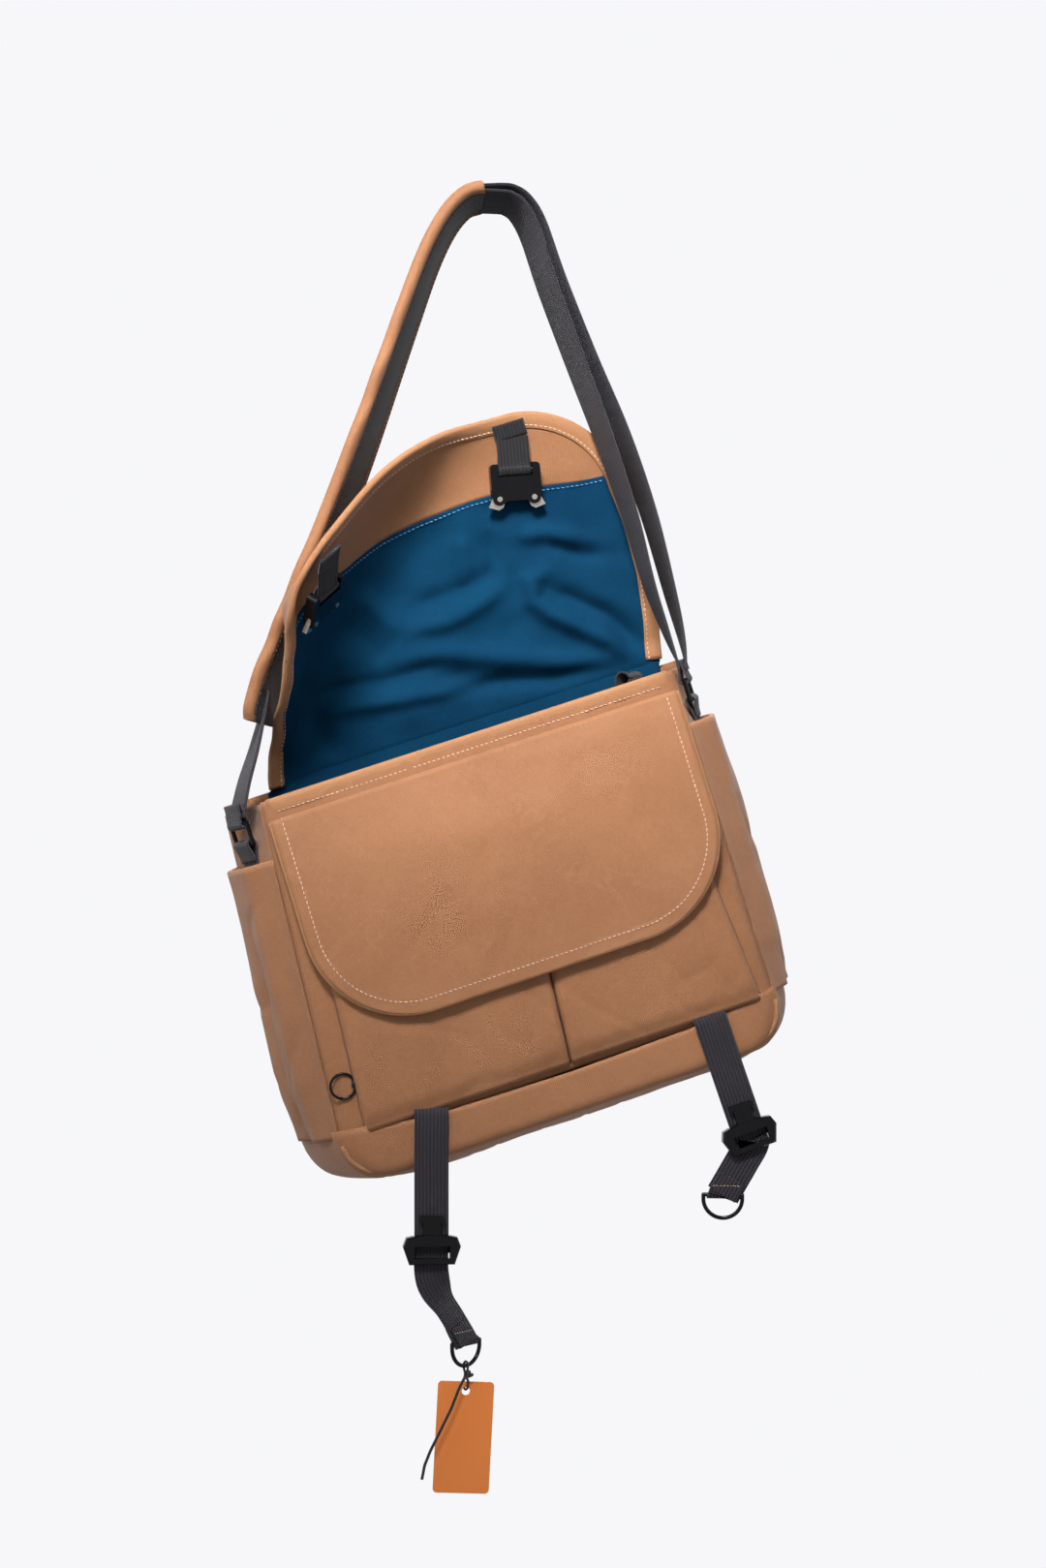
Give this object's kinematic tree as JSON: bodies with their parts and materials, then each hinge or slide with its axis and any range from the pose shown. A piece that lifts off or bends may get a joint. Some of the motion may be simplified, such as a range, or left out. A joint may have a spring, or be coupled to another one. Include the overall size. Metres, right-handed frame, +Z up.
{
  "type": "messenger bag",
  "caption": "Waxed-canvas messenger bag hanging by its shoulder strap, with its lined main flap open, a flapped front pocket, metal buckles on webbing and a card tag.",
  "frame": {"origin": "underside of the shoulder strap at its highest point, where it bears on what it hangs from", "axes": "+Z up, -Y towards the bag's front, +X to the right of someone facing the front"},
  "size_m": [0.4284, 0.14, 0.9598],
  "materials": {
    "tan_canvas": "waxed canvas, matt with a slight sheen",
    "teal_lining": "plain woven cotton",
    "charcoal_webbing": "ribbed webbing",
    "black_metal": "gloss black coating",
    "silver_metal": "satin",
    "orange_card": "smooth uncoated card",
    "black_cord": "braided cord",
    "mesh_black": "spacer mesh",
    "foam": "closed-cell foam"
  },
  "bodies": {
    "strap": {"pad_cover": "tan_canvas", "pad_foam": "foam", "pad_mesh": "mesh_black", "strap_web_left": "charcoal_webbing", "strap_web_outer": "charcoal_webbing", "strap_web_inner": "charcoal_webbing", "left_loop": "black_metal", "right_loop": "black_metal", "anchor_loops": "charcoal_webbing"},
    "bag": {"front_panel": "tan_canvas", "back_panel": "tan_canvas", "left_gusset": "tan_canvas", "right_gusset": "tan_canvas", "base_band": "tan_canvas", "base_piping": "tan_canvas", "main_lining": "teal_lining", "front_rim_binding": "tan_canvas", "mouth_tab": "charcoal_webbing", "left_pouch": "tan_canvas", "right_pouch": "tan_canvas", "left_side_pocket": "tan_canvas", "right_side_pocket": "tan_canvas", "side_label": "charcoal_webbing", "left_anchor": "charcoal_webbing", "right_anchor": "charcoal_webbing", "drop_anchors": "charcoal_webbing", "key_ring_tab": "charcoal_webbing"},
    "key_ring": {"key_ring": "black_metal"},
    "pocket_flap": {"pocket_flap_panel": "tan_canvas", "pocket_flap_binding": "tan_canvas"},
    "flap_top": {"flap_top_canvas": "tan_canvas", "flap_top_lining": "teal_lining"},
    "flap_front": {"flap_front_canvas": "tan_canvas", "flap_front_lining": "teal_lining", "flap_front_facing": "tan_canvas", "right_tab_root": "charcoal_webbing"},
    "wing_top": {"wing_top_canvas": "tan_canvas"},
    "wing_front": {"wing_front_canvas": "tan_canvas", "wing_front_lining": "teal_lining", "wing_front_facing": "tan_canvas", "left_tab_root": "charcoal_webbing"},
    "right_female": {"right_tab": "charcoal_webbing", "right_female_body": "black_metal", "right_rivets": "silver_metal"},
    "right_latch_in": {"right_latch_inner": "silver_metal"},
    "right_latch_out": {"right_latch_outer": "silver_metal"},
    "left_female": {"left_tab": "charcoal_webbing", "left_female_body": "black_metal", "left_rivets": "silver_metal"},
    "left_latch_in": {"left_latch_inner": "silver_metal"},
    "left_latch_out": {"left_latch_outer": "silver_metal"},
    "left_drop": {"left_drop_web": "charcoal_webbing"},
    "left_male": {"left_male_buckle": "black_metal"},
    "left_ring": {"left_ring": "black_metal"},
    "right_drop": {"right_drop_web": "charcoal_webbing"},
    "right_male": {"right_male_buckle": "black_metal"},
    "right_ring": {"right_ring": "black_metal"},
    "tag": {"tag_card": "orange_card", "tag_loop": "black_cord", "tag_cord": "black_cord"}
  },
  "joints": [
    {"name": "bag_swing", "type": "hinge", "parent": "strap", "child": "bag", "pos_m": [-0.01295, 0, -0.43509], "axis": [-0.9511, 0, -0.309], "range_deg": [0, 10]},
    {"name": "flap_hinge", "type": "hinge", "parent": "bag", "child": "flap_top", "pos_m": [-0.02747, 0.046, -0.39039], "axis": [0.9511, 0, 0.309], "range_deg": [0, 84]},
    {"name": "flap_fold", "type": "hinge", "parent": "flap_top", "child": "flap_front", "pos_m": [-0.06558, 0.03304, -0.27311], "axis": [0.9511, 0, 0.309], "range_deg": [0, 90.5]},
    {"name": "wing_top_fold", "type": "hinge", "parent": "flap_top", "child": "wing_top", "pos_m": [-0.17964, 0.046, -0.43983], "axis": [0.5011, -0.0699, 0.8625], "range_deg": [-64.5, 0]},
    {"name": "wing_front_fold", "type": "hinge", "parent": "flap_front", "child": "wing_front", "pos_m": [-0.17964, 0.046, -0.43983], "axis": [0.5011, -0.0699, 0.8625], "range_deg": [-64.5, 0]},
    {"name": "right_buckle_swing", "type": "hinge", "parent": "flap_front", "child": "right_female", "pos_m": [0.01522, 0.01885, -0.1723], "axis": [-0.9958, -0.0235, -0.0883], "range_deg": [0, 180]},
    {"name": "left_buckle_swing", "type": "hinge", "parent": "wing_front", "child": "left_female", "pos_m": [-0.12746, -0.07709, -0.27708], "axis": [-0.6066, -0.5689, -0.5553], "range_deg": [0, 180]},
    {"name": "right_latch_in_press", "type": "hinge", "parent": "right_female", "child": "right_latch_in", "pos_m": [0.00593, 0.02312, -0.21806], "axis": [0.0323, -0.9945, -0.0994], "range_deg": [0, 7], "stiffness_Nm_per_rad": 0.05},
    {"name": "right_latch_out_press", "type": "hinge", "parent": "right_female", "child": "right_latch_out", "pos_m": [0.03222, 0.02374, -0.21573], "axis": [-0.0323, 0.9945, 0.0994], "range_deg": [0, 7], "stiffness_Nm_per_rad": 0.05},
    {"name": "left_latch_in_press", "type": "hinge", "parent": "left_female", "child": "left_latch_in", "pos_m": [-0.12283, -0.03644, -0.3], "axis": [-0.7914, 0.3662, 0.4895], "range_deg": [0, 7], "stiffness_Nm_per_rad": 0.05},
    {"name": "left_latch_out_press", "type": "hinge", "parent": "left_female", "child": "left_latch_out", "pos_m": [-0.13885, -0.05146, -0.31466], "axis": [0.7914, -0.3662, -0.4895], "range_deg": [0, 7], "stiffness_Nm_per_rad": 0.05},
    {"name": "pocket_flap_hinge", "type": "hinge", "parent": "bag", "child": "pocket_flap", "pos_m": [-0.02098, -0.0535, -0.41036], "axis": [0.9511, 0, 0.309], "range_deg": [-120, 0]},
    {"name": "key_ring_turn", "type": "hinge", "parent": "bag", "child": "key_ring", "pos_m": [-0.10783, -0.0524, -0.64782], "axis": [-0.309, 0, 0.9511], "range_deg": [0, 40]},
    {"name": "left_drop_swing", "type": "hinge", "parent": "bag", "child": "left_drop", "pos_m": [-0.05236, -0.0546, -0.66976], "axis": [-1, 0, 0], "range_deg": [0, 132]},
    {"name": "right_drop_swing", "type": "hinge", "parent": "bag", "child": "right_drop", "pos_m": [0.15212, -0.0546, -0.60332], "axis": [-0.9455, 0, -0.3256], "range_deg": [0, 132]},
    {"name": "left_buckle_slide", "type": "slide", "parent": "left_drop", "child": "left_male", "axis": [0, 0, 1], "range_m": [0, 0.045]},
    {"name": "right_buckle_slide", "type": "slide", "parent": "right_drop", "child": "right_male", "axis": [-0.3256, 0, 0.9455], "range_m": [0, 0.045]},
    {"name": "left_ring_swing", "type": "hinge", "parent": "left_drop", "child": "left_ring", "pos_m": [-0.02736, -0.0546, -0.83676], "axis": [0.766, 0.6428, 0], "range_deg": [-35, 35]},
    {"name": "right_ring_swing", "type": "hinge", "parent": "right_drop", "child": "right_ring", "pos_m": [0.16193, -0.0546, -0.7332], "axis": [0.9805, -0.1966, -0.0067], "range_deg": [-35, 35]},
    {"name": "tag_swing", "type": "hinge", "parent": "left_ring", "child": "tag", "pos_m": [-0.02736, -0.0546, -0.85396], "axis": [0.766, 0.6428, 0], "range_deg": [-25, 25]}
  ],
  "couplings": [
    {"joint": "flap_fold", "follows": "flap_hinge", "ratio": 1.0714},
    {"joint": "wing_top_fold", "follows": "flap_hinge", "ratio": -0.76191},
    {"joint": "wing_front_fold", "follows": "flap_hinge", "ratio": -0.76191}
  ]
}
